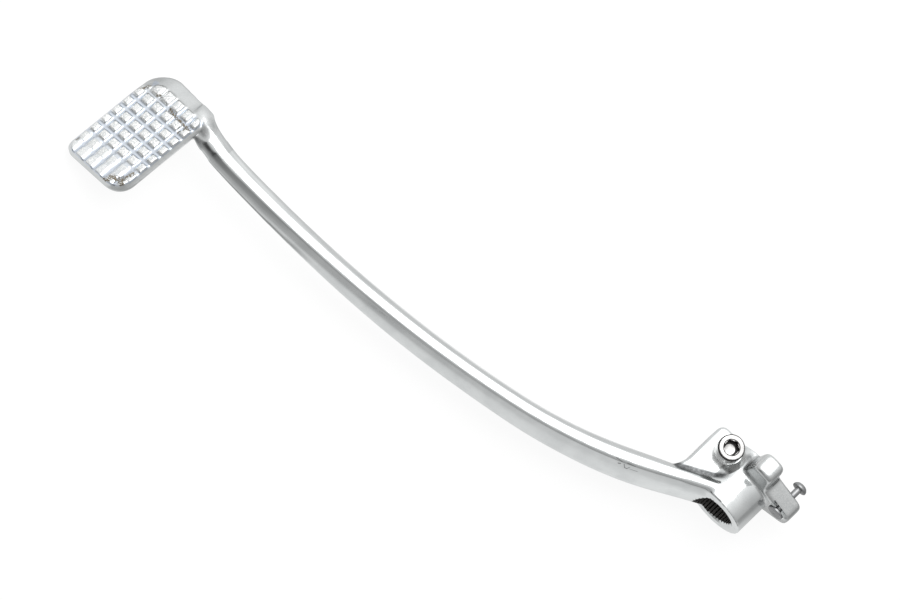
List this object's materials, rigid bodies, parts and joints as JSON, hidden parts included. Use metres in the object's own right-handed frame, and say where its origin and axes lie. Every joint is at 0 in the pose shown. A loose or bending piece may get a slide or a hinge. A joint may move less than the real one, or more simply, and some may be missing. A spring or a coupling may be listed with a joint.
{
  "type": "motorcycle brake pedal",
  "caption": "Foot brake pedal with a waffle tread pad, a long swept arm and a hub clamped on a serrated cross shaft by a pinch screw.",
  "frame": {"origin": "on the brake shaft's axis, at the outer end face of the hub", "axes": "+Y along the shaft into the machine, +Z towards the side the foot presses, arm and pad along -X"},
  "size_m": [0.3282, 0.1293, 0.0433],
  "materials": {
    "chrome": "bright chrome plate with rust pits on the tread",
    "zinc": "plated steel"
  },
  "bodies": {
    "root": {"pedal_forging": "chrome", "pinch_screw": "zinc", "spring_post": "zinc"}
  },
  "joints": []
}
